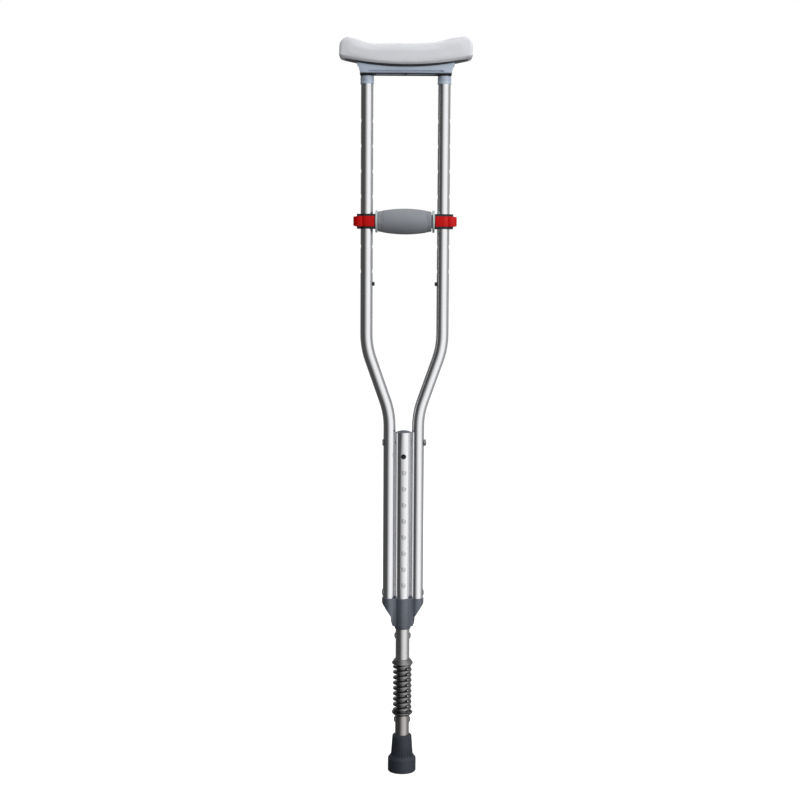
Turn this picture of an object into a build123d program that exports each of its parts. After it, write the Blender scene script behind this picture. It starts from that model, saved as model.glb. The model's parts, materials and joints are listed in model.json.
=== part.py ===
from build123d import *
from math import sqrt
import os

os.makedirs("parts", exist_ok=True)

# Underarm crutch with a spring foot. Millimetres, +Z up, +X to the right, -Y to the front.
# The origin is the middle of the tip's sole, on the ground, with the leg at its shortest.

# Tube sections
side_tube_diameter = 19.0
side_tube_wall = 1.2
centre_tube_diameter = 25.0
centre_tube_wall = 1.1
leg_tube_diameter = 22.2
leg_tube_wall = 1.2
guide_rod_diameter = 17.0
guide_rod_wall = 2.2

# Fits, each measured on the radius or from face to face
running_fit = 0.08
snug_fit = 0.05
loose_fit = 0.3

# Rubber tip
tip_base_diameter = 44.4
tip_base_height = 20.5
tip_shoulder_diameter = 34.8
tip_shoulder_height = 6.5
tip_neck_diameter = 30.2
tip_height = 58.5
tip_rim_rounding = 2.6
tip_edge_rounding = 1.2
tip_floor = 20.0
tip_notch_count = 24
tip_notch_width = 2.2
tip_notch_depth = 1.1
tread_ring_count = 3
tread_ring_pitch = 4.6
tread_groove_width = 2.0
tread_groove_depth = 1.4
tread_first_radius = 8.0

# Foot and shock absorber
tip_washer_thickness = 2.0
foot_tube_length = 70.5
rod_sleeve_length = 28.0
foot_rivet_drop = 9.8
spring_seat_diameter = 33.4
spring_seat_thickness = 3.0
lower_seat_collar_height = 2.4
upper_seat_collar_height = 4.6
seat_collar_wall = 1.5
spring_outer_diameter = 29.8
spring_wire_diameter = 4.8
spring_free_height = 78.0
spring_coils = 9
shock_travel = 12.0
rivet_shank_diameter = 5.0
rivet_head_diameter = 10.0
rivet_head_height = 2.0
rivet_dome_rise_share = 0.76
dome_point_share = 0.6
leg_rivet_height_in_tube = 41.7
guide_bush_length = 30.0
rod_above_rivet = 14.0

# Leg and centre tube
leg_tube_length = 339.5
button_below_tube_top = 12.0
button_diameter = 7.2
button_proud = 2.0
button_flange_diameter = 9.6
leaf_thickness = 0.6
leaf_width = 8.0
leaf_length = 42.0
leaf_bend_radius = 3.0
length_hole_diameter = 8.0
length_hole_pitch = 25.4
leg_below_centre_tube = 85.5
centre_tube_above_button = 37.0
cross_bolt_below_tube_top = 16.2
cross_bolt_diameter = 5.0
cross_bolt_head_diameter = 10.0
cross_bolt_head_height = 1.6
cross_nut_across_flats = 9.4
cross_nut_height = 3.0
bolt_end_past_nut = 0.6
plug_dome_height = 3.0
plug_depth = 10.0

# Yoke at the foot of the three tubes
yoke_wall = 1.05
yoke_web_thickness = 18.0
yoke_socket_depth = 17.0
yoke_rim_depth = 6.0
yoke_shoulder_drop = 7.5
yoke_waist_drop = 29.0
yoke_waist_half_width = 18.8
yoke_waist_step = 1.5
yoke_height = 49.0
yoke_foot_taper = 1.3
yoke_foot_taper_height = 5.0
yoke_spigot_height = 26.6
yoke_screw_above_rim = 8.8
yoke_screw_diameter = 4.0
yoke_screw_length = 9.0
yoke_screw_head_diameter = 11.0
yoke_screw_head_height = 1.5
screw_dome_rise_share = 0.7
leg_bush_wall = 1.0
yoke_foot_lip = 1.2

# Side tubes
side_to_centre_tube_gap = 0.2
upper_half_spacing = 58.75
low_bend_above_centre_tube = 29.5
bend_rise = 103.0
bend_radius = 120.0
first_handle_hole_above_bend = 116.8
handle_hole_diameter = 8.0
handle_hole_pitch = 38.1
handle_hole_count = 7
handle_hole_in_use = 2
side_tube_above_last_hole = 77.1
stop_stud_below_first_hole = 19.3
stop_stud_head_diameter = 6.0
stop_stud_head_height = 3.0
stop_stud_shank_diameter = 4.0
stop_stud_shank_length = 3.0

# Hand grip
grip_to_tube_gap = 3.75
grip_end_ring_thickness = 3.4
grip_end_ring_diameter = 33.8
grip_middle_diameter = 39.4
grip_end_diameter = 30.4
grip_core_diameter = 20.4
grip_core_wall = 2.2
grip_rib_width = 1.0
grip_rib_depth = 0.5
grip_rib_pitch = 2.2
grip_ribs_each_end = 3
bracket_height = 22.6
bracket_wall = 2.2
bracket_past_axis = 15.0
bracket_end_half_depth = 8.0
bracket_spigot_length = 18.0
core_pin_diameter = 3.0
core_pin_from_end = 11.5

# Red clips and their pins
clip_pin_diameter = 7.4
clip_pin_reach_past_tube = 6.8
clip_arm_height = 15.6
clip_arm_thickness = 2.4
clip_nose_reach = 20.4
clip_nose_height = 13.6
clip_nose_half_depth = 8.0
clip_crease_out = 6.6
clip_crease_half_depth = 12.6
clip_bulge_out = 11.5
clip_bulge_half_depth = 13.0
clip_chamfer_start = 14.6
clip_pin_socket_out = 18.6

# Underarm cushion and its base
cushion_length = 204.0
cushion_depth = 42.0
cushion_thickness = 34.3
cushion_under_radius = 425.0
cushion_left_end_rise = 10.8
cushion_left_bump_reach = 80.0
cushion_left_bump_rise = 8.4
cushion_left_dip_reach = 60.0
cushion_left_dip_rise = 1.8
cushion_flat_reach = 22.0
cushion_flat_rise = 0.2
cushion_right_dip_reach = 50.0
cushion_right_dip_rise = 3.4
cushion_right_bump_reach = 76.0
cushion_right_bump_rise = 9.8
cushion_right_end_rise = 12.4
cushion_top_corner = 15.0
cushion_low_corner = 6.0
cushion_side_rounding = 5.5
saddle_plate_thickness = 3.0
saddle_plate_depth = 26.0
saddle_plate_past_beam = 1.0
beam_depth = 30.0
beam_height = 7.6
beam_edge_chamfer = 2.2
beam_flare = 3.9
beam_channel_depth = 2.5
beam_channel_height = 2.6
beam_channel_end = 12.0
beam_wall = 2.2
base_collar_wall = 0.6
base_collar_height = 14.0
collar_ring_height = 2.2
collar_ring_proud = 0.3
tube_top_above_beam = 8.0
base_screw_diameter = 3.6
base_screw_head_diameter = 6.8
base_screw_head_height = 1.0
base_screw_length = 8.0
base_screw_above_beam = 2.6

# Radii that follow from the sections
side_tube_radius = side_tube_diameter / 2
side_bore_radius = side_tube_radius - side_tube_wall
centre_tube_radius = centre_tube_diameter / 2
centre_bore_radius = centre_tube_radius - centre_tube_wall
leg_tube_radius = leg_tube_diameter / 2
leg_bore_radius = leg_tube_radius - leg_tube_wall
guide_rod_radius = guide_rod_diameter / 2
lower_half_spacing = centre_tube_radius + side_tube_radius + side_to_centre_tube_gap

# Heights of the foot, from the sole up
foot_tube_bottom = tip_floor + tip_washer_thickness
foot_tube_top = foot_tube_bottom + foot_tube_length
foot_rivet_z = foot_tube_top - foot_rivet_drop
spring_bottom = foot_tube_top + spring_seat_thickness
spring_top = spring_bottom + spring_free_height

# Heights of the leg
leg_tube_bottom = spring_top + spring_seat_thickness
leg_tube_top = leg_tube_bottom + leg_tube_length
leg_rivet_z = leg_tube_bottom + leg_rivet_height_in_tube
button_z = leg_tube_top - button_below_tube_top

# Heights of the frame
centre_tube_top = button_z + centre_tube_above_button
centre_tube_bottom = leg_tube_bottom + leg_below_centre_tube
centre_tube_length = centre_tube_top - centre_tube_bottom
yoke_top = centre_tube_bottom + yoke_socket_depth
length_hole_count = int((button_z - yoke_top) // length_hole_pitch) + 1
yoke_bottom = yoke_top - yoke_height
side_tube_bottom = yoke_top - yoke_rim_depth
yoke_screw_z = yoke_top + yoke_screw_above_rim
cross_bolt_z = centre_tube_top - cross_bolt_below_tube_top
low_bend_z = centre_tube_top + low_bend_above_centre_tube
high_bend_z = low_bend_z + bend_rise
first_handle_hole_z = high_bend_z + first_handle_hole_above_bend
last_handle_hole_z = first_handle_hole_z + (handle_hole_count - 1) * handle_hole_pitch
stop_stud_z = first_handle_hole_z - stop_stud_below_first_hole
grip_z = first_handle_hole_z + handle_hole_in_use * handle_hole_pitch
side_tube_top = last_handle_hole_z + side_tube_above_last_hole
beam_bottom = side_tube_top - tube_top_above_beam
base_screw_z = beam_bottom + base_screw_above_beam

# The saddle plate and the cushion share one centre of curvature, high over the crutch
plate_under_z = beam_bottom + beam_height
plate_under_radius = cushion_under_radius + loose_fit + saddle_plate_thickness
saddle_centre_z = plate_under_z + plate_under_radius
cushion_middle_top_z = saddle_centre_z - cushion_under_radius + cushion_thickness


def saddle_point(radius, x):
    """A point on the circle of this radius about the saddle's centre, in the front plane."""
    return (x, saddle_centre_z - sqrt(radius**2 - x**2))


def cross_rivet(height, tube_radius):
    """A rivet along X through a round tube, its domed heads dished to the tube's wall."""
    head_end = tube_radius + rivet_head_height
    head_rim = tube_radius + snug_fit
    with BuildPart() as rivet:
        with BuildSketch(Plane.XZ):
            with BuildLine():
                Line((0, height), (head_end, height))
                ThreePointArc(
                    (head_end, height),
                    (
                        head_rim + rivet_dome_rise_share * rivet_head_height,
                        height + dome_point_share * rivet_head_diameter / 2,
                    ),
                    (head_rim, height + rivet_head_diameter / 2),
                )
                Line(
                    (head_rim, height + rivet_head_diameter / 2),
                    (0, height + rivet_head_diameter / 2),
                )
                Line((0, height + rivet_head_diameter / 2), (0, height))
            make_face()
        revolve(axis=Axis((0, 0, height), (1, 0, 0)))
        mirror(about=Plane.YZ)
        with BuildSketch(Plane.XY.offset(height)):
            Circle(tube_radius + snug_fit)
        extrude(amount=rivet_head_diameter, both=True, mode=Mode.SUBTRACT)
        with BuildSketch(Plane.YZ):
            with Locations((0, height)):
                Circle(rivet_shank_diameter / 2)
        extrude(amount=tube_radius + rivet_head_height / 2, both=True)
    return rivet.part


# Rubber tip: a turned shape with a notched shoulder and a ringed sole
with BuildPart() as rubber_tip:
    tip_bore_radius = leg_tube_radius + snug_fit
    with BuildSketch(Plane.XZ):
        with BuildLine():
            Polyline(
                (0, tip_floor),
                (0, 0),
                (tip_base_diameter / 2, 0),
                (tip_base_diameter / 2, tip_base_height),
                (tip_shoulder_diameter / 2, tip_base_height + tip_shoulder_height),
                (tip_neck_diameter / 2, tip_height),
                (tip_bore_radius, tip_height),
                (tip_bore_radius, tip_floor),
                (0, tip_floor),
            )
        make_face()
    revolve(axis=Axis.Z)
    outer_rims = rubber_tip.edges().filter_by(GeomType.CIRCLE)
    fillet(outer_rims.group_by(Axis.Z)[0], tip_edge_rounding)
    top_rims = rubber_tip.edges().filter_by(GeomType.CIRCLE).group_by(Axis.Z)[-1]
    fillet(top_rims.sort_by(SortBy.RADIUS)[-1], tip_rim_rounding)
    notch_radius = tip_shoulder_diameter / 2
    notch_top = tip_base_height + tip_shoulder_height
    notch_height = 2 * tip_shoulder_height
    with BuildSketch(Plane.XY.offset(notch_top)):
        with PolarLocations(notch_radius, tip_notch_count):
            Rectangle(2 * tip_notch_depth, tip_notch_width)
    extrude(amount=notch_height, both=True, mode=Mode.SUBTRACT)
    for ring in range(tread_ring_count):
        groove_radius = tread_first_radius + ring * tread_ring_pitch
        with BuildSketch(Plane.XY):
            Circle(groove_radius + tread_groove_width)
            Circle(groove_radius, mode=Mode.SUBTRACT)
        extrude(amount=tread_groove_depth, mode=Mode.SUBTRACT)
rubber_tip.part.label = "rubber_tip"
export_step(rubber_tip.part, "parts/rubber_tip.step")

# Tip washer: a steel disc that keeps the tube from cutting through the sole
with BuildPart() as tip_washer:
    with BuildSketch(Plane.XY.offset(tip_floor)):
        Circle(leg_tube_radius)
    extrude(amount=tip_washer_thickness)
tip_washer.part.label = "tip_washer"
export_step(tip_washer.part, "parts/tip_washer.step")

# Foot tube
with BuildPart() as foot_tube:
    with BuildSketch(Plane.XY.offset(foot_tube_bottom)):
        Circle(leg_tube_radius)
        Circle(leg_bore_radius, mode=Mode.SUBTRACT)
    extrude(amount=foot_tube_length)
    with BuildSketch(Plane.YZ):
        with Locations((0, foot_rivet_z)):
            Circle(rivet_shank_diameter / 2 + snug_fit)
    extrude(amount=leg_tube_diameter, both=True, mode=Mode.SUBTRACT)
foot_tube.part.label = "foot_tube"
export_step(foot_tube.part, "parts/foot_tube.step")

# Rod sleeve: fills the foot tube round the guide rod
with BuildPart() as rod_sleeve:
    with BuildSketch(Plane.XY.offset(foot_tube_top - rod_sleeve_length)):
        Circle(leg_bore_radius - snug_fit)
        Circle(guide_rod_radius + snug_fit, mode=Mode.SUBTRACT)
    extrude(amount=rod_sleeve_length)
    with BuildSketch(Plane.YZ):
        with Locations((0, foot_rivet_z)):
            Circle(rivet_shank_diameter / 2 + snug_fit)
    extrude(amount=leg_tube_diameter, both=True, mode=Mode.SUBTRACT)
rod_sleeve.part.label = "rod_sleeve"
export_step(rod_sleeve.part, "parts/rod_sleeve.step")

# Guide rod: fixed in the foot, its slot lets the leg rivet travel as the spring gives
with BuildPart() as guide_rod:
    rod_bottom = foot_tube_top - rod_sleeve_length
    rod_top = leg_rivet_z + rod_above_rivet
    slot_length = shock_travel + rivet_shank_diameter + 2 * loose_fit
    slot_top = leg_rivet_z + rivet_shank_diameter / 2 + loose_fit
    with BuildSketch(Plane.XY.offset(rod_bottom)):
        Circle(guide_rod_radius)
        Circle(guide_rod_radius - guide_rod_wall, mode=Mode.SUBTRACT)
    extrude(amount=rod_top - rod_bottom)
    with BuildSketch(Plane.YZ):
        with Locations((0, foot_rivet_z)):
            Circle(rivet_shank_diameter / 2 + snug_fit)
        with Locations((0, slot_top - slot_length / 2)):
            SlotOverall(
                slot_length, rivet_shank_diameter + 2 * loose_fit, rotation=90
            )
    extrude(amount=guide_rod_diameter, both=True, mode=Mode.SUBTRACT)
guide_rod.part.label = "guide_rod"
export_step(guide_rod.part, "parts/guide_rod.step")

foot_rivet = cross_rivet(foot_rivet_z, leg_tube_radius)
foot_rivet.label = "foot_rivet"
export_step(foot_rivet, "parts/foot_rivet.step")


def spring_seat(tube_end_z, spring_side, collar_height):
    """A seat ring with a collar that fits over the tube's end.

    spring_side is +1 where the spring is above the tube's end, and -1 where it is below.
    """
    seat_face = tube_end_z + spring_side * spring_seat_thickness
    collar_end = tube_end_z - spring_side * collar_height
    collar_radius = leg_tube_radius + snug_fit + seat_collar_wall
    seat_edge = tube_end_z + spring_side * spring_seat_thickness / 2
    with BuildPart() as seat:
        with BuildSketch(Plane.XZ):
            with BuildLine():
                Polyline(
                    (guide_rod_radius + loose_fit, tube_end_z),
                    (guide_rod_radius + loose_fit, seat_face),
                    (spring_seat_diameter / 2, seat_face),
                    (spring_seat_diameter / 2, seat_edge),
                    (collar_radius, collar_end),
                    (leg_tube_radius + snug_fit, collar_end),
                    (leg_tube_radius + snug_fit, tube_end_z),
                    (guide_rod_radius + loose_fit, tube_end_z),
                )
            make_face()
        revolve(axis=Axis.Z)
    return seat.part


lower_spring_seat = spring_seat(foot_tube_top, 1, lower_seat_collar_height)
lower_spring_seat.label = "lower_spring_seat"
export_step(lower_spring_seat, "parts/lower_spring_seat.step")

upper_spring_seat = spring_seat(leg_tube_bottom, -1, upper_seat_collar_height)
upper_spring_seat.label = "upper_spring_seat"
export_step(upper_spring_seat, "parts/upper_spring_seat.step")

# Coil spring: right-handed, its ends ground flat on the two seats
with BuildPart() as coil_spring:
    coil_radius = (spring_outer_diameter - spring_wire_diameter) / 2
    coil_pitch = spring_free_height / spring_coils
    helix_bottom = spring_bottom - spring_wire_diameter / 4
    helix_height = spring_free_height + spring_wire_diameter / 2
    with BuildLine(Plane.XY.offset(helix_bottom)):
        Helix(pitch=coil_pitch, height=helix_height, radius=coil_radius)
    with BuildSketch(Plane((coil_radius, 0, helix_bottom), z_dir=(0, 1, 0))):
        Circle(spring_wire_diameter / 2)
    sweep(is_frenet=True)
    split(bisect_by=Plane.XY.offset(spring_bottom), keep=Keep.TOP)
    split(bisect_by=Plane.XY.offset(spring_top), keep=Keep.BOTTOM)
coil_spring.part.label = "coil_spring"
export_step(coil_spring.part, "parts/coil_spring.step")

# Guide bush: the guide rod slides in it, in the foot of the leg tube
with BuildPart() as guide_bush:
    with BuildSketch(Plane.XY.offset(leg_tube_bottom)):
        Circle(leg_bore_radius - snug_fit)
        Circle(guide_rod_radius + running_fit, mode=Mode.SUBTRACT)
    extrude(amount=guide_bush_length)
guide_bush.part.label = "guide_bush"
export_step(guide_bush.part, "parts/guide_bush.step")

# Leg tube: a hole for the rivet low down, and one for the button in front near its top
with BuildPart() as leg_tube:
    with BuildSketch(Plane.XY.offset(leg_tube_bottom)):
        Circle(leg_tube_radius)
        Circle(leg_bore_radius, mode=Mode.SUBTRACT)
    extrude(amount=leg_tube_length)
    with BuildSketch(Plane.YZ):
        with Locations((0, leg_rivet_z)):
            Circle(rivet_shank_diameter / 2 + snug_fit)
    extrude(amount=leg_tube_diameter, both=True, mode=Mode.SUBTRACT)
    with BuildSketch(Plane.XZ):
        with Locations((0, button_z)):
            Circle(length_hole_diameter / 2)
    extrude(amount=leg_tube_diameter, mode=Mode.SUBTRACT)
leg_tube.part.label = "leg_tube"
export_step(leg_tube.part, "parts/leg_tube.step")

leg_rivet = cross_rivet(leg_rivet_z, leg_tube_radius)
leg_rivet.label = "leg_rivet"
export_step(leg_rivet, "parts/leg_rivet.step")

# Snap button: a domed button on the front leaf of a V of spring steel
with BuildPart() as snap_button:
    button_tip_y = -(centre_tube_radius + button_proud)
    flange_half = button_flange_diameter / 2
    flange_front_y = -sqrt((leg_bore_radius - loose_fit) ** 2 - flange_half**2)
    leaf_front_y = flange_front_y + leaf_thickness
    leaf_back_y = sqrt((leg_bore_radius - loose_fit) ** 2 - (leaf_width / 2) ** 2)
    leaf_bottom_z = button_z - leaf_length
    with BuildSketch(Plane.YZ):
        with BuildLine():
            leaf_line = FilletPolyline(
                (leaf_front_y + leaf_thickness / 2, button_z + flange_half),
                (leaf_front_y + leaf_thickness / 2, button_z - flange_half),
                (0, leaf_bottom_z),
                (leaf_back_y - leaf_thickness / 2, button_z - flange_half),
                (leaf_back_y - leaf_thickness / 2, button_z + flange_half),
                radius=leaf_bend_radius,
            )
            offset(leaf_line, amount=leaf_thickness / 2)
        make_face()
    extrude(amount=leaf_width / 2, both=True)
    with BuildSketch(Plane.XZ.offset(-leaf_front_y)):
        with Locations((0, button_z)):
            Circle(flange_half)
    extrude(amount=leaf_thickness)
    with BuildSketch(Plane.XZ.offset(-flange_front_y)):
        with Locations((0, button_z)):
            Circle(button_diameter / 2)
    extrude(amount=flange_front_y - button_tip_y)
    button_rim = snap_button.faces().sort_by(Axis.Y)[0].edges()
    fillet(button_rim, button_proud)
snap_button.part.label = "snap_button"
export_step(snap_button.part, "parts/snap_button.step")

# Centre tube: the length holes run down its front from the button
with BuildPart() as centre_tube:
    with BuildSketch(Plane.XY.offset(centre_tube_bottom)):
        Circle(centre_tube_radius)
        Circle(centre_bore_radius, mode=Mode.SUBTRACT)
    extrude(amount=centre_tube_length)
    with BuildSketch(Plane.XZ):
        for hole in range(length_hole_count):
            with Locations((0, button_z - hole * length_hole_pitch)):
                Circle(length_hole_diameter / 2)
    extrude(amount=centre_tube_diameter, mode=Mode.SUBTRACT)
    with BuildSketch(Plane.YZ):
        with Locations((0, cross_bolt_z)):
            Circle(cross_bolt_diameter / 2 + snug_fit)
    extrude(amount=centre_tube_diameter, both=True, mode=Mode.SUBTRACT)
centre_tube.part.label = "centre_tube"
export_step(centre_tube.part, "parts/centre_tube.step")

# Centre tube plug: a domed cap with a skirt down the bore
with BuildPart() as centre_tube_plug:
    with BuildSketch(Plane.XZ):
        with BuildLine():
            Polyline(
                (centre_tube_radius, centre_tube_top),
                (centre_bore_radius - snug_fit, centre_tube_top),
                (centre_bore_radius - snug_fit, centre_tube_top - plug_depth),
                (0, centre_tube_top - plug_depth),
                (0, centre_tube_top + plug_dome_height),
            )
            TangentArc(
                (0, centre_tube_top + plug_dome_height),
                (centre_tube_radius, centre_tube_top),
                tangent=(1, 0),
            )
        make_face()
    revolve(axis=Axis.Z)
centre_tube_plug.part.label = "centre_tube_plug"
export_step(centre_tube_plug.part, "parts/centre_tube_plug.step")

# Upper cross bolt through all three tubes, with its nut on the right
outer_face_x = lower_half_spacing + side_tube_radius
nut_end_x = outer_face_x + cross_nut_height
with BuildPart() as upper_cross_bolt:
    with BuildSketch(Plane.YZ.offset(-outer_face_x)):
        with Locations((0, cross_bolt_z)):
            Circle(cross_bolt_head_diameter / 2)
    extrude(amount=-cross_bolt_head_height)
    fillet(
        upper_cross_bolt.faces().sort_by(Axis.X)[0].edges(),
        cross_bolt_head_height / 2,
    )
    with BuildSketch(Plane.YZ.offset(-outer_face_x)):
        with Locations((0, cross_bolt_z)):
            Circle(cross_bolt_diameter / 2)
    extrude(amount=outer_face_x + nut_end_x + bolt_end_past_nut)
upper_cross_bolt.part.label = "upper_cross_bolt"
export_step(upper_cross_bolt.part, "parts/upper_cross_bolt.step")

with BuildPart() as upper_cross_nut:
    with BuildSketch(Plane.YZ.offset(outer_face_x)):
        with Locations((0, cross_bolt_z)):
            RegularPolygon(cross_nut_across_flats / 2, 6, major_radius=False)
            Circle(cross_bolt_diameter / 2 + snug_fit, mode=Mode.SUBTRACT)
    extrude(amount=cross_nut_height)
upper_cross_nut.part.label = "upper_cross_nut"
export_step(upper_cross_nut.part, "parts/upper_cross_nut.step")

# Right side tube: straight, bent out over the centre tube, then straight to the cushion
with BuildPart() as side_tube_right:
    with BuildLine(Plane.XZ) as side_tube_route:
        FilletPolyline(
            (lower_half_spacing, side_tube_bottom),
            (lower_half_spacing, low_bend_z),
            (upper_half_spacing, high_bend_z),
            (upper_half_spacing, side_tube_top),
            radius=bend_radius,
        )
    with BuildSketch(Plane.XY.offset(side_tube_bottom)):
        with Locations((lower_half_spacing, 0)):
            Circle(side_tube_radius)
            Circle(side_bore_radius, mode=Mode.SUBTRACT)
    sweep(path=side_tube_route.wire())
    with BuildSketch(Plane.YZ.offset(upper_half_spacing)):
        for hole in range(handle_hole_count):
            with Locations((0, first_handle_hole_z + hole * handle_hole_pitch)):
                Circle(handle_hole_diameter / 2)
    extrude(amount=side_tube_diameter, both=True, mode=Mode.SUBTRACT)
    with BuildSketch(Plane.YZ.offset(upper_half_spacing)):
        with Locations((0, stop_stud_z)):
            Circle(stop_stud_shank_diameter / 2 + snug_fit)
    extrude(amount=-side_tube_diameter, mode=Mode.SUBTRACT)
    with BuildSketch(Plane.YZ.offset(upper_half_spacing)):
        with Locations((0, base_screw_z)):
            Circle(base_screw_diameter / 2 + snug_fit)
    extrude(amount=side_tube_diameter, mode=Mode.SUBTRACT)
    with BuildSketch(Plane.YZ.offset(lower_half_spacing)):
        with Locations((0, yoke_screw_z)):
            Circle(yoke_screw_diameter / 2 + snug_fit)
    extrude(amount=side_tube_diameter, mode=Mode.SUBTRACT)
    with BuildSketch(Plane.YZ.offset(lower_half_spacing)):
        with Locations((0, cross_bolt_z)):
            Circle(cross_bolt_diameter / 2 + snug_fit)
    extrude(amount=side_tube_diameter, both=True, mode=Mode.SUBTRACT)
side_tube_right.part.label = "side_tube_right"
export_step(side_tube_right.part, "parts/side_tube_right.step")

with BuildPart() as side_tube_left:
    mirror(side_tube_right.part, about=Plane.YZ)
side_tube_left.part.label = "side_tube_left"
export_step(side_tube_left.part, "parts/side_tube_left.step")

# Stop studs: the grip can't drop past them
with BuildPart() as stop_studs:
    stud_seat_x = upper_half_spacing - side_tube_radius
    with BuildSketch(Plane.YZ.offset(stud_seat_x)):
        with Locations((0, stop_stud_z)):
            Circle(stop_stud_head_diameter / 2)
    extrude(amount=-stop_stud_head_height)
    fillet(stop_studs.faces().sort_by(Axis.X)[0].edges(), stop_stud_head_height / 4)
    with BuildSketch(Plane.YZ.offset(stud_seat_x)):
        with Locations((0, stop_stud_z)):
            Circle(stop_stud_shank_diameter / 2)
    extrude(amount=stop_stud_shank_length)
    mirror(about=Plane.YZ)
stop_studs.part.label = "stop_studs"
export_step(stop_studs.part, "parts/stop_studs.step")

# Yoke: the plan of the three sockets, cut to the front outline, with a spigot up each side tube
with BuildPart() as lower_yoke:
    wing_radius = side_tube_radius + snug_fit + yoke_wall
    column_radius = centre_tube_radius + snug_fit + yoke_wall
    foot_radius = column_radius - yoke_foot_taper
    half_width = lower_half_spacing + wing_radius
    with BuildSketch(Plane.XY.offset(yoke_bottom)):
        Rectangle(2 * lower_half_spacing, yoke_web_thickness)
        with Locations((lower_half_spacing, 0), (-lower_half_spacing, 0)):
            Circle(wing_radius)
    extrude(amount=yoke_height)
    with BuildSketch(Plane.XZ):
        with BuildLine():
            Line((0, yoke_bottom), (foot_radius, yoke_bottom))
            wing_foot = TangentArc(
                (yoke_waist_half_width, yoke_top - yoke_waist_drop - yoke_waist_step),
                (foot_radius, yoke_bottom),
                tangent=(0, -1),
            )
            Polyline(
                wing_foot @ 0,
                (yoke_waist_half_width, yoke_top - yoke_waist_drop),
                (half_width, yoke_top - yoke_shoulder_drop),
                (half_width, yoke_top),
                (0, yoke_top),
            )
            mirror(about=Plane.YZ)
        make_face()
    extrude(amount=2 * column_radius, both=True, mode=Mode.INTERSECT)
    with BuildSketch(Plane.XY.offset(yoke_bottom)):
        Circle(column_radius)
    extrude(amount=yoke_height)
    with BuildSketch(Plane.XZ):
        with BuildLine():
            Polyline(
                (foot_radius, yoke_bottom),
                (column_radius, yoke_bottom + yoke_foot_taper_height),
                (2 * column_radius, yoke_bottom + yoke_foot_taper_height),
                (2 * column_radius, yoke_bottom),
                (foot_radius, yoke_bottom),
            )
        make_face()
    revolve(axis=Axis.Z, mode=Mode.SUBTRACT)
    with BuildSketch(Plane.XY.offset(centre_tube_bottom)):
        Circle(centre_tube_radius + snug_fit)
    extrude(amount=yoke_height, mode=Mode.SUBTRACT)
    bush_outer_radius = leg_tube_radius + running_fit + leg_bush_wall
    with BuildSketch(Plane.XY.offset(yoke_bottom + yoke_foot_lip)):
        Circle(bush_outer_radius + snug_fit)
    extrude(amount=yoke_height, mode=Mode.SUBTRACT)
    with BuildSketch(Plane.XY.offset(yoke_bottom)):
        Circle(leg_tube_radius + loose_fit)
    extrude(amount=yoke_height, mode=Mode.SUBTRACT)
    with BuildSketch(Plane.XY.offset(side_tube_bottom)):
        with Locations((lower_half_spacing, 0), (-lower_half_spacing, 0)):
            Circle(side_tube_radius + snug_fit)
    extrude(amount=yoke_rim_depth, mode=Mode.SUBTRACT)
    with BuildSketch(Plane.XY.offset(side_tube_bottom)):
        with Locations((lower_half_spacing, 0), (-lower_half_spacing, 0)):
            Circle(side_bore_radius - snug_fit)
    extrude(amount=yoke_spigot_height)
    spigot_rims = lower_yoke.edges().filter_by(GeomType.CIRCLE).group_by(Axis.Z)[-1]
    chamfer(spigot_rims, side_tube_wall)
    with BuildSketch(Plane.YZ.offset(lower_half_spacing)):
        with Locations((0, yoke_screw_z)):
            Circle(yoke_screw_diameter / 2 + snug_fit)
    extrude(amount=side_tube_radius, mode=Mode.SUBTRACT)
    with BuildSketch(Plane.YZ.offset(-lower_half_spacing)):
        with Locations((0, yoke_screw_z)):
            Circle(yoke_screw_diameter / 2 + snug_fit)
    extrude(amount=-side_tube_radius, mode=Mode.SUBTRACT)
lower_yoke.part.label = "lower_yoke"
export_step(lower_yoke.part, "parts/lower_yoke.step")

# Leg bush: the leg tube slides in it, in the yoke's foot
with BuildPart() as leg_bush:
    with BuildSketch(Plane.XY.offset(yoke_bottom + yoke_foot_lip)):
        Circle(bush_outer_radius)
        Circle(leg_tube_radius + running_fit, mode=Mode.SUBTRACT)
    extrude(amount=centre_tube_bottom - yoke_bottom - yoke_foot_lip)
leg_bush.part.label = "leg_bush"
export_step(leg_bush.part, "parts/leg_bush.step")

# Lower side screws: domed heads on the side tubes' outer walls, threads in the yoke's spigots
with BuildPart() as lower_side_screws:
    screw_head_half = yoke_screw_head_diameter / 2
    screw_tip_x = outer_face_x - yoke_screw_length
    with BuildSketch(Plane.XZ):
        with BuildLine():
            Line(
                (screw_tip_x, yoke_screw_z),
                (outer_face_x + yoke_screw_head_height, yoke_screw_z),
            )
            ThreePointArc(
                (outer_face_x + yoke_screw_head_height, yoke_screw_z),
                (
                    outer_face_x + screw_dome_rise_share * yoke_screw_head_height,
                    yoke_screw_z + dome_point_share * screw_head_half,
                ),
                (outer_face_x, yoke_screw_z + screw_head_half),
            )
            Line(
                (outer_face_x, yoke_screw_z + screw_head_half),
                (screw_tip_x, yoke_screw_z + screw_head_half),
            )
            Line(
                (screw_tip_x, yoke_screw_z + screw_head_half),
                (screw_tip_x, yoke_screw_z),
            )
        make_face()
    revolve(axis=Axis((0, 0, yoke_screw_z), (1, 0, 0)))
    with BuildSketch(Plane.XY.offset(yoke_screw_z)):
        with Locations((lower_half_spacing, 0)):
            Circle(side_tube_radius + snug_fit)
    extrude(amount=yoke_screw_head_diameter, both=True, mode=Mode.SUBTRACT)
    with BuildSketch(Plane.YZ.offset(screw_tip_x)):
        with Locations((0, yoke_screw_z)):
            Circle(yoke_screw_diameter / 2)
    extrude(amount=yoke_screw_length + yoke_screw_head_height / 2)
    mirror(about=Plane.YZ)
lower_side_screws.part.label = "lower_side_screws"
export_step(lower_side_screws.part, "parts/lower_side_screws.step")

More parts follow.
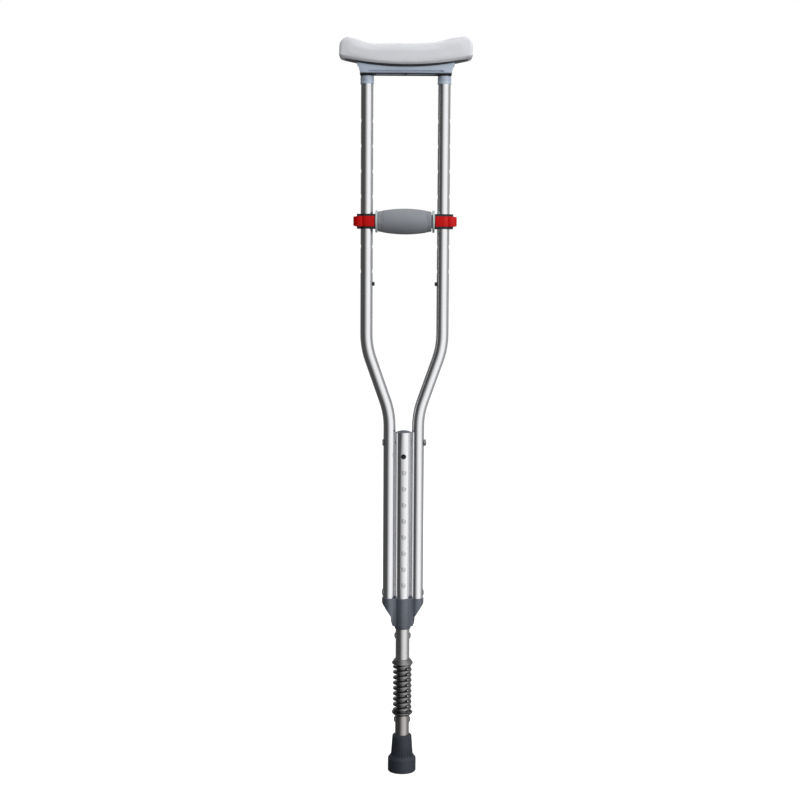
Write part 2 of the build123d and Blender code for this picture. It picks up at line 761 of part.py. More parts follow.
# Hand grip: a barrel-shaped soft sleeve with fine rings near its ends
grip_half_length = upper_half_spacing - side_tube_radius - grip_to_tube_gap
sleeve_half_length = grip_half_length - grip_end_ring_thickness - loose_fit
sleeve_bore_radius = grip_core_diameter / 2 + loose_fit
grip_axis = Axis((0, 0, grip_z), (1, 0, 0))
with BuildPart() as hand_grip:
    with BuildSketch(Plane.XZ):
        with BuildLine():
            ThreePointArc(
                (-sleeve_half_length, grip_z + grip_end_diameter / 2),
                (0, grip_z + grip_middle_diameter / 2),
                (sleeve_half_length, grip_z + grip_end_diameter / 2),
            )
            Polyline(
                (sleeve_half_length, grip_z + grip_end_diameter / 2),
                (sleeve_half_length, grip_z + sleeve_bore_radius),
                (-sleeve_half_length, grip_z + sleeve_bore_radius),
                (-sleeve_half_length, grip_z + grip_end_diameter / 2),
            )
        make_face()
    revolve(axis=grip_axis)
    for rib in range(grip_ribs_each_end):
        groove_x = sleeve_half_length - (rib + 1) * grip_rib_pitch
        groove_floor = grip_end_diameter / 2 - grip_rib_depth + rib * grip_rib_depth
        with BuildSketch(Plane.YZ.offset(groove_x)):
            with Locations((0, grip_z)):
                Circle(grip_middle_diameter)
                Circle(groove_floor, mode=Mode.SUBTRACT)
        extrude(amount=grip_rib_width, mode=Mode.SUBTRACT)
        with BuildSketch(Plane.YZ.offset(-groove_x)):
            with Locations((0, grip_z)):
                Circle(grip_middle_diameter)
                Circle(groove_floor, mode=Mode.SUBTRACT)
        extrude(amount=-grip_rib_width, mode=Mode.SUBTRACT)
hand_grip.part.label = "hand_grip"
export_step(hand_grip.part, "parts/hand_grip.step")

# Grip core: a stiff tube that carries the load from bracket to bracket
with BuildPart() as grip_core:
    with BuildSketch(Plane.YZ):
        with Locations((0, grip_z)):
            Circle(grip_core_diameter / 2)
            Circle(grip_core_diameter / 2 - grip_core_wall, mode=Mode.SUBTRACT)
    extrude(amount=grip_half_length, both=True)
    with BuildSketch(Plane.XY.offset(grip_z)):
        with Locations(
            (grip_half_length - core_pin_from_end, 0),
            (core_pin_from_end - grip_half_length, 0),
        ):
            Circle(core_pin_diameter / 2 + snug_fit)
    extrude(amount=grip_core_diameter, both=True, mode=Mode.SUBTRACT)
grip_core.part.label = "grip_core"
export_step(grip_core.part, "parts/grip_core.step")

# Grip end rings: thin pale discs between the sleeve and the brackets
with BuildPart() as grip_end_ring_right:
    ring_start_x = grip_half_length - grip_end_ring_thickness
    with BuildSketch(Plane.YZ.offset(ring_start_x)):
        with Locations((0, grip_z)):
            Circle(grip_end_ring_diameter / 2)
            Circle(grip_core_diameter / 2 + snug_fit, mode=Mode.SUBTRACT)
    extrude(amount=grip_end_ring_thickness)
    ring_rims = grip_end_ring_right.edges().filter_by(GeomType.CIRCLE)
    fillet(ring_rims.group_by(SortBy.RADIUS)[-1], grip_end_ring_thickness / 4)
grip_end_ring_right.part.label = "grip_end_ring_right"
export_step(grip_end_ring_right.part, "parts/grip_end_ring_right.step")

with BuildPart() as grip_end_ring_left:
    mirror(grip_end_ring_right.part, about=Plane.YZ)
grip_end_ring_left.part.label = "grip_end_ring_left"
export_step(grip_end_ring_left.part, "parts/grip_end_ring_left.step")

# Right grip bracket: a collar round the tube, with a spigot in the grip core
saddle_bore_radius = side_tube_radius + loose_fit
saddle_outer_radius = saddle_bore_radius + bracket_wall
bracket_end_x = upper_half_spacing + bracket_past_axis
with BuildPart() as grip_bracket_right:
    with BuildSketch(Plane.XY.offset(grip_z)):
        with Locations(((grip_half_length + upper_half_spacing) / 2, 0)):
            Rectangle(upper_half_spacing - grip_half_length, 2 * saddle_outer_radius)
        with Locations((upper_half_spacing, 0)):
            Circle(saddle_outer_radius)
        with Locations(((upper_half_spacing + bracket_end_x) / 2, 0)):
            Rectangle(bracket_past_axis, 2 * bracket_end_half_depth)
        with Locations((upper_half_spacing, 0)):
            Circle(saddle_bore_radius, mode=Mode.SUBTRACT)
    extrude(amount=bracket_height / 2, both=True)
    plate_corners = grip_bracket_right.edges().filter_by(Axis.Z).group_by(Axis.X)[0]
    fillet(plate_corners, bracket_wall)
    end_corners = grip_bracket_right.edges().filter_by(Axis.Z).group_by(Axis.X)[-1]
    fillet(end_corners, bracket_wall)
    with BuildSketch(Plane.YZ.offset(grip_half_length)):
        with Locations((0, grip_z)):
            Circle(grip_core_diameter / 2 - grip_core_wall - snug_fit)
    extrude(amount=-bracket_spigot_length)
    with BuildSketch(Plane.YZ.offset(upper_half_spacing)):
        with Locations((0, grip_z)):
            Circle(clip_pin_diameter / 2 + running_fit)
    extrude(
        amount=side_tube_radius + clip_pin_reach_past_tube + 2 * loose_fit,
        both=True,
        mode=Mode.SUBTRACT,
    )
    with BuildSketch(Plane.XY.offset(grip_z)):
        with Locations((grip_half_length - core_pin_from_end, 0)):
            Circle(core_pin_diameter / 2 + snug_fit)
    extrude(amount=grip_core_diameter, both=True, mode=Mode.SUBTRACT)
grip_bracket_right.part.label = "grip_bracket_right"
export_step(grip_bracket_right.part, "parts/grip_bracket_right.step")

with BuildPart() as grip_bracket_left:
    mirror(grip_bracket_right.part, about=Plane.YZ)
grip_bracket_left.part.label = "grip_bracket_left"
export_step(grip_bracket_left.part, "parts/grip_bracket_left.step")

# Grip core pins: one through the core and each bracket's spigot
with BuildPart() as grip_core_pins:
    with BuildSketch(Plane.XY.offset(grip_z)):
        with Locations(
            (grip_half_length - core_pin_from_end, 0),
            (core_pin_from_end - grip_half_length, 0),
        ):
            Circle(core_pin_diameter / 2)
    extrude(amount=grip_core_diameter / 2 - snug_fit, both=True)
grip_core_pins.part.label = "grip_core_pins"
export_step(grip_core_pins.part, "parts/grip_core_pins.step")

# Right clip: two arms over the bracket's collar, joined by a nose to pull
with BuildPart() as grip_clip_right:
    arm_inner = saddle_outer_radius + loose_fit
    arm_outer = arm_inner + clip_arm_thickness
    arm_end_x = grip_half_length + bracket_wall / 2
    arm_start_x = arm_end_x - bracket_wall
    body_start_x = bracket_end_x + loose_fit
    crease_x = upper_half_spacing + clip_crease_out
    bulge_x = upper_half_spacing + clip_bulge_out
    nose_x = upper_half_spacing + clip_nose_reach
    with BuildSketch(Plane.XY.offset(grip_z)):
        with BuildLine():
            Line((arm_end_x, 0), (arm_end_x, arm_outer))
            Line((arm_end_x, arm_outer), (upper_half_spacing, arm_outer))
            arm_bend = TangentArc(
                (upper_half_spacing, arm_outer),
                (crease_x, clip_crease_half_depth),
                tangent=(1, 0),
            )
            nose_flank = ThreePointArc(
                arm_bend @ 1,
                (bulge_x, clip_bulge_half_depth),
                (nose_x, clip_nose_half_depth),
            )
            Line(nose_flank @ 1, (nose_x, 0))
            mirror(about=Plane.XZ)
        make_face()
        with Locations((upper_half_spacing, 0)):
            Circle(arm_inner, mode=Mode.SUBTRACT)
        with Locations(((arm_start_x + upper_half_spacing) / 2, 0)):
            Rectangle(upper_half_spacing - arm_start_x, 2 * arm_inner, mode=Mode.SUBTRACT)
        with Locations(((upper_half_spacing + body_start_x) / 2, 0)):
            Rectangle(
                body_start_x - upper_half_spacing,
                2 * (bracket_end_half_depth + loose_fit),
                mode=Mode.SUBTRACT,
            )
    extrude(amount=clip_arm_height / 2, both=True)
    with BuildSketch(Plane((0, 0, grip_z), x_dir=(1, 0, 0), z_dir=(0, -1, 0))):
        with BuildLine():
            Polyline(
                (arm_start_x, 0),
                (arm_start_x, clip_arm_height / 2),
                (upper_half_spacing + clip_chamfer_start, clip_arm_height / 2),
                (nose_x, clip_nose_height / 2),
                (nose_x, 0),
            )
            mirror(about=Plane.XZ)
        make_face()
    extrude(amount=2 * arm_outer, both=True, mode=Mode.INTERSECT)
    with BuildSketch(Plane.YZ.offset(upper_half_spacing)):
        with Locations((0, grip_z)):
            Circle(clip_pin_diameter / 2 + snug_fit)
    extrude(amount=clip_pin_socket_out, mode=Mode.SUBTRACT)
grip_clip_right.part.label = "grip_clip_right"
export_step(grip_clip_right.part, "parts/grip_clip_right.step")

with BuildPart() as grip_clip_left:
    mirror(grip_clip_right.part, about=Plane.YZ)
grip_clip_left.part.label = "grip_clip_left"
export_step(grip_clip_left.part, "parts/grip_clip_left.step")

# Clip pins: pressed in the clips, through both walls of the tube into the brackets
with BuildPart() as clip_pin_right:
    pin_tip_x = upper_half_spacing - side_tube_radius - clip_pin_reach_past_tube
    pin_head_x = upper_half_spacing + clip_pin_socket_out
    with BuildSketch(Plane.YZ.offset(pin_tip_x)):
        with Locations((0, grip_z)):
            Circle(clip_pin_diameter / 2)
    extrude(amount=pin_head_x - pin_tip_x)
    chamfer(clip_pin_right.faces().sort_by(Axis.X)[0].edges(), clip_pin_diameter / 8)
clip_pin_right.part.label = "clip_pin_right"
export_step(clip_pin_right.part, "parts/clip_pin_right.step")

with BuildPart() as clip_pin_left:
    mirror(clip_pin_right.part, about=Plane.YZ)
clip_pin_left.part.label = "clip_pin_left"
export_step(clip_pin_left.part, "parts/clip_pin_left.step")

# Cushion base: a curved saddle plate, a hollow beam under it and two sockets for the tubes
collar_radius = side_tube_radius + snug_fit + base_collar_wall
beam_half_length = upper_half_spacing + collar_radius
beam_top_half_length = beam_half_length + beam_flare
pocket_half_length = upper_half_spacing - collar_radius - beam_wall
with BuildPart() as cushion_base:
    with BuildSketch(Plane.XZ):
        with BuildLine():
            plate_half = beam_top_half_length + saddle_plate_past_beam
            plate_top_radius = plate_under_radius - saddle_plate_thickness
            plate_under = ThreePointArc(
                saddle_point(plate_under_radius, -plate_half),
                saddle_point(plate_under_radius, 0),
                saddle_point(plate_under_radius, plate_half),
            )
            plate_over = ThreePointArc(
                saddle_point(plate_top_radius, -plate_half),
                saddle_point(plate_top_radius, 0),
                saddle_point(plate_top_radius, plate_half),
            )
            Line(plate_under @ 0, plate_over @ 0)
            Line(plate_under @ 1, plate_over @ 1)
        make_face()
    extrude(amount=saddle_plate_depth / 2, both=True)
    fillet(cushion_base.edges().filter_by(Axis.Y), saddle_plate_thickness / 4)
    with BuildSketch(Plane.XZ):
        with BuildLine():
            beam_over = ThreePointArc(
                saddle_point(
                    plate_under_radius - saddle_plate_thickness / 2,
                    -beam_top_half_length,
                ),
                saddle_point(plate_under_radius - saddle_plate_thickness / 2, 0),
                saddle_point(
                    plate_under_radius - saddle_plate_thickness / 2,
                    beam_top_half_length,
                ),
            )
            Polyline(
                beam_over @ 0,
                (-beam_half_length, beam_bottom),
                (beam_half_length, beam_bottom),
                beam_over @ 1,
            )
        make_face()
    extrude(amount=beam_depth / 2, both=True)
    low_edges = cushion_base.faces().sort_by(Axis.Z)[0].edges().filter_by(Axis.X)
    chamfer(low_edges, beam_edge_chamfer)
    with BuildSketch(Plane.XY.offset(beam_bottom)):
        with Locations((pocket_half_length / 2, 0), (-pocket_half_length / 2, 0)):
            Rectangle(
                pocket_half_length - beam_wall,
                beam_depth - 2 * beam_channel_depth - 2 * beam_wall,
            )
    extrude(amount=beam_height - beam_wall, mode=Mode.SUBTRACT)
    for face_plane in (
        Plane.XZ.offset(beam_depth / 2),
        Plane.XZ.offset(-beam_depth / 2 + beam_channel_depth),
    ):
        with BuildSketch(face_plane):
            with Locations((0, beam_bottom + beam_height / 2)):
                RectangleRounded(
                    2 * (beam_half_length - beam_channel_end),
                    beam_channel_height,
                    beam_channel_height / 3,
                )
        extrude(amount=-beam_channel_depth, mode=Mode.SUBTRACT)
    with BuildSketch(Plane.XY.offset(beam_bottom)):
        with Locations((upper_half_spacing, 0), (-upper_half_spacing, 0)):
            Circle(collar_radius)
    extrude(amount=-base_collar_height)
    for ring_z in (
        beam_bottom - base_collar_height,
        beam_bottom - base_collar_height / 2 - collar_ring_height / 2,
    ):
        with BuildSketch(Plane.XY.offset(ring_z)):
            with Locations((upper_half_spacing, 0), (-upper_half_spacing, 0)):
                Circle(collar_radius + collar_ring_proud)
        extrude(amount=collar_ring_height)
    with BuildSketch(Plane.XY.offset(side_tube_top)):
        with Locations((upper_half_spacing, 0), (-upper_half_spacing, 0)):
            Circle(side_tube_radius + snug_fit)
            Circle(side_bore_radius - snug_fit, mode=Mode.SUBTRACT)
    extrude(
        amount=-(tube_top_above_beam + base_collar_height), mode=Mode.SUBTRACT
    )
    for side in (1, -1):
        with BuildSketch(Plane.YZ.offset(side * upper_half_spacing)):
            with Locations((0, base_screw_z)):
                Circle(base_screw_diameter / 2 + snug_fit)
        extrude(amount=side * side_tube_diameter, mode=Mode.SUBTRACT)
        with BuildSketch(Plane.YZ.offset(side * beam_half_length)):
            with Locations((0, base_screw_z)):
                Circle(base_screw_head_diameter / 2 + loose_fit)
        extrude(amount=side * side_tube_diameter, mode=Mode.SUBTRACT)
cushion_base.part.label = "cushion_base"
export_step(cushion_base.part, "parts/cushion_base.step")

# Base screws: from each end of the beam, through the tube's wall into the base's spigot
with BuildPart() as base_screws:
    with BuildSketch(Plane.YZ.offset(beam_half_length)):
        with Locations((0, base_screw_z)):
            Circle(base_screw_head_diameter / 2)
    extrude(amount=base_screw_head_height)
    fillet(
        base_screws.faces().sort_by(Axis.X)[-1].edges(), base_screw_head_height / 2
    )
    with BuildSketch(Plane.YZ.offset(beam_half_length)):
        with Locations((0, base_screw_z)):
            Circle(base_screw_diameter / 2)
    extrude(amount=-base_screw_length)
    mirror(about=Plane.YZ)
base_screws.part.label = "base_screws"
export_step(base_screws.part, "parts/base_screws.step")

# Underarm cushion: a soft pad on the saddle plate, dished along its length
with BuildPart() as underarm_cushion:
    cushion_half = cushion_length / 2
    with BuildSketch(Plane.XZ):
        with BuildLine():
            cushion_under = ThreePointArc(
                saddle_point(cushion_under_radius, -cushion_half),
                saddle_point(cushion_under_radius, 0),
                saddle_point(cushion_under_radius, cushion_half),
            )
            cushion_over = Spline(
                (-cushion_half, cushion_middle_top_z + cushion_left_end_rise),
                (-cushion_left_bump_reach, cushion_middle_top_z + cushion_left_bump_rise),
                (-cushion_left_dip_reach, cushion_middle_top_z + cushion_left_dip_rise),
                (-cushion_flat_reach, cushion_middle_top_z + cushion_flat_rise),
                (cushion_right_dip_reach, cushion_middle_top_z + cushion_right_dip_rise),
                (cushion_right_bump_reach, cushion_middle_top_z + cushion_right_bump_rise),
                (cushion_half, cushion_middle_top_z + cushion_right_end_rise),
            )
            Line(cushion_under @ 0, cushion_over @ 0)
            Line(cushion_under @ 1, cushion_over @ 1)
        make_face()
    extrude(amount=cushion_depth / 2, both=True)
    end_edges = underarm_cushion.edges().filter_by(Axis.Y)
    upper_end_edges = end_edges.filter_by(lambda edge: edge.center().Z > cushion_middle_top_z)
    fillet(upper_end_edges, cushion_top_corner)
    end_edges = underarm_cushion.edges().filter_by(Axis.Y)
    fillet(end_edges.group_by(Axis.Z)[0], cushion_low_corner)
    front_face = underarm_cushion.faces().sort_by(Axis.Y)[0]
    back_face = underarm_cushion.faces().sort_by(Axis.Y)[-1]
    long_edges = front_face.edges() + back_face.edges()
    fillet(long_edges, cushion_side_rounding)
underarm_cushion.part.label = "underarm_cushion"
export_step(underarm_cushion.part, "parts/underarm_cushion.step")
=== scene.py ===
# %% [markdown]
# # Dressing an underarm crutch
#
# The crutch is a frame of three aluminium tubes, a leg that slides in the middle one, a spring
# foot, a hand grip held by two red clips and a soft pad on a plastic saddle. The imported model
# already holds every piece at its real size, so this lesson only gives each piece its surface,
# and models again the soft and moulded pieces whose look needs rounder forms.

import json
from math import cos, pi, radians, sin

import bpy
from mathutils import Matrix, Vector


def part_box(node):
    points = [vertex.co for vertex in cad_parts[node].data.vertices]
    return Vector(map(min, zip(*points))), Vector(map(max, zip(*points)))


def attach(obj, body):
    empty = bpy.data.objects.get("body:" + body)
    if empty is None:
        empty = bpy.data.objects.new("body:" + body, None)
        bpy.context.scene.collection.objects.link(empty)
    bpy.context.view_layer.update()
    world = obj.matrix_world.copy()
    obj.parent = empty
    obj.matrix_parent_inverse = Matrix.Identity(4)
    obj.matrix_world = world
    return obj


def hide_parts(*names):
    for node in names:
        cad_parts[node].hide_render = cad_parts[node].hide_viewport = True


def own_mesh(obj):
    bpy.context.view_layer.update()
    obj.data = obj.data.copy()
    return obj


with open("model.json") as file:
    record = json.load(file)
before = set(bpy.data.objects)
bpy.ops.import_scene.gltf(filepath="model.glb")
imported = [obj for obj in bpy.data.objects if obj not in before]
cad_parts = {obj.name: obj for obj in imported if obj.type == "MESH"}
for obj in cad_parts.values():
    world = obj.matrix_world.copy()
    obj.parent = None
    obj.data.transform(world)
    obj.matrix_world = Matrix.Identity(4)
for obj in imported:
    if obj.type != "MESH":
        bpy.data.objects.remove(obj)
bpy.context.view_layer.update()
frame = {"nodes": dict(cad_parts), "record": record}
nodes = frame["nodes"]
MM = 0.001


# %% [markdown]
# ## The camera
#
# The camera stands in front of the crutch, a little left of its axis and at hip height, and looks
# down by about five degrees. A long lens keeps the two side tubes nearly parallel. The small roll
# leans the crutch to the right, as it hangs in the picture.

# %% Camera
camera_place = Vector((-6.1, -2200.0, 800.0)) * MM
camera_pitch_down = 5.419
camera_roll = 0.33
camera_lens = 64.0

camera_data = bpy.data.cameras.new("studio_camera")
camera_data.lens = camera_lens
camera_data.sensor_width = 36.0
camera_data.clip_start = 0.05
camera_data.clip_end = 100.0
camera = bpy.data.objects.new("studio_camera", camera_data)
bpy.context.scene.collection.objects.link(camera)
tilt = Matrix.Rotation(radians(90 - camera_pitch_down), 4, "X")
roll = Matrix.Rotation(radians(camera_roll), 4, "Z")
camera.matrix_world = Matrix.Translation(camera_place) @ tilt @ roll
bpy.context.scene.camera = camera
bpy.context.scene.view_settings.view_transform = "Standard"
print("camera", [round(value, 3) for value in camera.location], "lens", camera_lens)

# %% [markdown]
# ## Shader sums
#
# A finish is a small sum of patterns. Math nodes are slow to read, so one class wraps a shader
# socket and lets Python's own operators add the Math nodes. Every other node, in the materials
# and in the world, comes from one method that takes the node's type, its settings and what its
# sockets get.

# %% Values and node sheets
class Value:
    """A number or colour that varies over a surface. Sums on it add Math nodes."""

    def __init__(self, sheet, socket):
        self.sheet = sheet
        self.socket = socket

    def sum(self, operation, first, second):
        return self.sheet.node("ShaderNodeMath", {"operation": operation}, {0: first, 1: second})

    def __add__(self, other):
        return self.sum("ADD", self, other)

    def __radd__(self, other):
        return self.sum("ADD", other, self)

    def __sub__(self, other):
        return self.sum("SUBTRACT", self, other)

    def __rsub__(self, other):
        return self.sum("SUBTRACT", other, self)

    def __mul__(self, other):
        return self.sum("MULTIPLY", self, other)

    def __rmul__(self, other):
        return self.sum("MULTIPLY", other, self)

    def __or__(self, other):
        """The larger of the two, so that for masks of 0 and 1 either of them counts."""
        return self.sum("MAXIMUM", self, other)


class NodeSheet:
    """A node tree, with the one method that adds nodes to it."""

    def __init__(self, tree):
        self.tree = tree

    def node(self, kind, settings=None, inputs=None, output=0):
        """Adds a node. Its settings come first, because they change which sockets it has."""
        made = self.tree.nodes.new(kind)
        for name, value in (settings or {}).items():
            setattr(made, name, value)
        for key, value in (inputs or {}).items():
            self.feed(made.inputs[key], value)
        return Value(self, made.outputs[output])

    def feed(self, socket, value):
        """Links a varying value to a socket, or sets the socket to a plain one."""
        if isinstance(value, Value):
            self.tree.links.new(value.socket, socket)
        else:
            socket.default_value = value


print("node helpers ready: Value, NodeSheet")

# %% [markdown]
# ## Patterns for finishes
#
# Each material is one finish. All patterns read Object coordinates, which are the crutch's own
# metres, so a grain has its true size on every piece, whatever the piece's shape.

# %% The finish class
class Finish(NodeSheet):
    """One finish under construction, with its constants set on the surface shader's sockets."""

    def __init__(self, name, constants=None):
        self.material = bpy.data.materials.new(name)
        self.material.use_nodes = True
        super().__init__(self.material.node_tree)
        self.shader = self.tree.nodes["Principled BSDF"]
        self.out = self.tree.nodes["Material Output"].inputs["Surface"]
        for socket, value in (constants or {}).items():
            self.shader.inputs[socket].default_value = value

    def place(self, scale=1):
        """Object coordinates in metres, stretched by one number or by one for each axis."""
        if not isinstance(scale, tuple):
            scale = (scale,) * 3
        coordinates = self.node("ShaderNodeTexCoord", output="Object")
        return self.node("ShaderNodeMapping", {}, {"Vector": coordinates, "Scale": scale})

    def along(self, axis):
        """How far along X, Y or Z a point lies, in metres."""
        return self.node("ShaderNodeSeparateXYZ", {}, {"Vector": self.place()}, output=axis)

    def noise(self, scale, detail=3.0, roughness=0.5):
        """Cloudy noise with this many spots a metre, evenly or along each axis."""
        inputs = {"Vector": self.place(scale), "Scale": 1.0}
        inputs.update({"Detail": detail, "Roughness": roughness})
        return self.node("ShaderNodeTexNoise", {}, inputs)

    def cells(self, scale):
        """Distance to the nearest of scattered points, this many a metre."""
        inputs = {"Vector": self.place(scale), "Scale": 1.0}
        return self.node("ShaderNodeTexVoronoi", {"feature": "F1"}, inputs, output="Distance")

    def ramp(self, value, low, high):
        """0 below low, 1 above high, and smooth between them."""
        settings = {"interpolation_type": "SMOOTHSTEP"}
        inputs = {"Value": value, "From Min": low, "From Max": high}
        return self.node("ShaderNodeMapRange", settings, inputs)

    def blend(self, share, first, second):
        """A colour between two colours."""
        inputs = {0: share, 6: first, 7: second}
        return self.node("ShaderNodeMix", {"data_type": "RGBA"}, inputs, output=2)

    def surface(self, colour, roughness=None, height=None, depth=0.0):
        """Links what varies. Height is a pattern from 0 to 1, and depth is its size in metres."""
        self.feed(self.shader.inputs["Base Color"], colour)
        if roughness is not None:
            self.feed(self.shader.inputs["Roughness"], roughness)
        if height is not None:
            inputs = {"Height": height, "Strength": 1.0, "Distance": depth}
            self.feed(self.shader.inputs["Normal"], self.node("ShaderNodeBump", {}, inputs))
        return self.material


def tone(red, green, blue):
    """A linear colour from the 0 to 255 scale that a paint program shows."""
    channels = [channel / 255 for channel in (red, green, blue)]
    linear = [((c + 0.055) / 1.055) ** 2.4 if c > 0.04045 else c / 12.92 for c in channels]
    return (*linear, 1.0)


white = (1, 1, 1, 1)
print("finish helpers ready: Finish, tone")

# %% [markdown]
# ## Metals
#
# The tubes are drawn aluminium with a satin anodised skin. Drawing leaves fine streaks along the
# tube, and anodising makes the shine soft. So the noise is stretched a hundred times along the
# tube, and it moves both the colour and the roughness a little. The leg and the foot tube get
# greyer and duller copies of this metal. On the leg that is painted shade too: it shows through the
# centre tube's holes and stands in for the shade inside them.

# %% Tube metals
streaks_a_metre = (1500, 1500, 9)
clouds_a_metre = (22, 22, 7)
rubs_a_metre = (160, 160, 30)
streak_depth = 0.004 * MM


def tube_finish(name, dark, light, rough):
    """Drawn aluminium between two tones. Rough is the roughness of its smoothest spots."""
    finish = Finish(name, {"Metallic": 1.0})
    streaks = finish.noise(streaks_a_metre, detail=4.0, roughness=0.6)
    clouds = finish.noise(clouds_a_metre, detail=2.0)
    rubs = finish.ramp(finish.noise(rubs_a_metre, detail=5.0, roughness=0.7), 0.62, 0.74)
    colour = finish.blend(0.5 * streaks + 0.5 * clouds, dark, light)
    roughness = rough + 0.05 * streaks + 0.03 * clouds + 0.05 * rubs
    return finish.surface(colour, roughness, streaks, streak_depth)


tube_metal = tube_finish("anodised_tube", tone(232, 232, 235), tone(249, 250, 252), 0.15)
# Painted shade: the leg's darker metal also stands in for the shade inside the centre tube's holes.
leg_metal_and_hole_shade = tube_finish("leg_tube_and_painted_hole_shade", tone(206, 205, 206), tone(230, 229, 231), 0.2)
foot_metal = tube_finish("dull_foot_tube", tone(172, 169, 167), tone(196, 193, 191), 0.24)
print("tube metals:", tube_metal.name, leg_metal_and_hole_shade.name, foot_metal.name)

# %% [markdown]
# ## Small steel pieces and the spring
#
# Rivets, bolts and pins are plated steel, clouded and finely scratched. The coil spring is
# painted black, with bare spots where it rubs. A clear coat over dark paint gives the sharp,
# bright reflections that wet-looking paint has, while the paint under it stays black.

# %% Steel and spring paint
steel_relief = 0.02 * MM


def steel_finish(name, dark, light, rough):
    """Plated steel between two tones. Rough is the roughness of its smoothest spots."""
    finish = Finish(name, {"Metallic": 1.0})
    clouds = finish.noise(260, detail=5.0, roughness=0.65)
    scratches = finish.ramp(finish.noise((3000, 300, 3000), detail=2.0), 0.55, 0.72)
    roughness = rough + 0.18 * clouds + 0.1 * scratches
    return finish.surface(finish.blend(clouds, dark, light), roughness, clouds, steel_relief)


def spring_finish():
    """Black paint under a clear coat, rubbed grey in spots."""
    constants = {"Coat Weight": 1.0, "Coat Roughness": 0.07, "Coat IOR": 2.8}
    finish = Finish("black_spring_paint", constants)
    clouds = finish.noise(420)
    rubs = finish.ramp(finish.noise(190, detail=6.0, roughness=0.7), 0.66, 0.76)
    colour = finish.blend(rubs, tone(7, 7, 8), tone(34, 34, 36))
    return finish.surface(colour, 0.2 + 0.15 * clouds, clouds, steel_relief)


rivet_steel = steel_finish("zinc_plated_steel", tone(120, 120, 122), tone(186, 186, 184), 0.26)
screw_steel = steel_finish("dark_screw_steel", tone(62, 63, 68), tone(112, 112, 116), 0.3)
button_steel = steel_finish("button_steel", tone(24, 24, 26), tone(76, 75, 76), 0.16)
spring_paint = spring_finish()
print("steels:", rivet_steel.name, screw_steel.name, button_steel.name, spring_paint.name)

# %% [markdown]
# ## Plastics and rubbers
#
# Moulded plastic is never one flat colour: the mould's fine grain breaks its shine, and flow
# marks change its tone over a few centimetres. Rubber is rougher, with pores and a bloom of
# paler dust. One function serves both, and each finish sets its own colours and grain.

# %% Moulded finishes
def mould_patterns(finish, grain):
    """The fine grain, the dusty bloom and the mottled tone of a moulded surface."""
    fine = finish.noise(grain, detail=2.0)
    drift = finish.noise(30)
    bloom = finish.noise(140, detail=5.0, roughness=0.7)
    return fine, bloom, 0.55 * drift + 0.3 * bloom + 0.15 * fine


def moulded_finish(name, dark, light, rough, grain, depth, shine=0.5):
    """Grain is in spots a metre, and depth is how deep it is. Shine is how much it mirrors."""
    finish = Finish(name, {"Specular IOR Level": shine})
    fine, bloom, mottle = mould_patterns(finish, grain)
    roughness = rough + 0.12 * bloom + 0.06 * fine
    return finish.surface(finish.blend(mottle, dark, light), roughness, fine, depth)


yoke_plastic = moulded_finish(
    "dark_grey_plastic", tone(66, 71, 82), tone(88, 94, 106), 0.2, 1300, 0.03 * MM, shine=1.0
)
black_plastic = moulded_finish(
    "black_plastic", tone(16, 16, 18), tone(30, 30, 33), 0.38, 1500, 0.03 * MM
)
red_plastic = moulded_finish(
    "red_clip_plastic", tone(178, 3, 4), tone(206, 8, 6), 0.3, 1600, 0.02 * MM, shine=0.22
)
ring_plastic = moulded_finish(
    "pale_ring_plastic", tone(164, 176, 176), tone(188, 198, 197), 0.34, 1500, 0.02 * MM
)
tip_rubber = moulded_finish(
    "dark_tip_rubber", tone(34, 38, 46), tone(52, 56, 65), 0.5, 900, 0.1 * MM
)
bush_nylon = moulded_finish(
    "white_nylon", tone(206, 204, 196), tone(226, 224, 217), 0.4, 1200, 0.02 * MM
)
print("moulded finishes:", yoke_plastic.name, red_plastic.name, tip_rubber.name)

# %% [markdown]
# ## The saddle base's plastic
#
# The base is the same kind of moulding, but its beam is open underneath and lies in deep shade
# there, and so does the line round each socket's top. Both lie at one height, so a narrow strip of
# near-black painted shade across that height, with soft edges and no shine, stands in for that
# shade without a second piece.

# %% Saddle base finish
socket_length = 14.0 * MM
beam_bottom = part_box("cushion_base")[0][2] + socket_length
painted_shade_from, painted_shade_to = beam_bottom - 2.5 * MM, beam_bottom + 1.0 * MM
painted_shade_edge = 0.3 * MM


def base_finish():
    """Blue-grey moulding, with painted shade under the beam and round the sockets' tops."""
    finish = Finish("blue_grey_plastic", {"Specular IOR Level": 0.9})
    fine, bloom, mottle = mould_patterns(finish, 1500)
    pale = finish.blend(mottle, tone(158, 170, 187), tone(184, 196, 212))
    # Painted shade: this near-black colour stands in for the shade under the beam and round the
    # sockets' tops.
    dark = finish.blend(mottle, tone(14, 16, 22), tone(26, 29, 37))
    height = finish.along("Z")
    over = finish.ramp(height, painted_shade_from, painted_shade_from + painted_shade_edge)
    under = 1 - finish.ramp(height, painted_shade_to, painted_shade_to + painted_shade_edge)
    painted_shade_zone = over * under
    roughness = 0.22 + 0.12 * bloom + 0.06 * fine + 0.6 * painted_shade_zone
    return finish.surface(finish.blend(painted_shade_zone, pale, dark), roughness, fine, 0.03 * MM)


base_plastic = base_finish()
print("base's dark zone from", round(painted_shade_from / MM, 1), "to", round(painted_shade_to / MM, 1), "mm")

# %% [markdown]
# ## Foams
#
# The pad is pale foam with a closed skin and fine pores. Its underside lies in shade, and that
# shade is painted dark on the skin. The pad's underside is an arc, and the painted shade ends along
# a flatter arc over it, so it is thickest at the middle and runs out towards the ends. The grip is
# a dry grey foam rubber with a fine speckle.

# %% Foam finishes
cushion_middle_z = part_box("underarm_cushion")[0][2]
# The painted shade on the pad's underside ends along an arc of this radius.
painted_shade_arc_radius = 510.0 * MM
painted_shade_height = 2.7 * MM
painted_shade_softness = 0.4 * MM


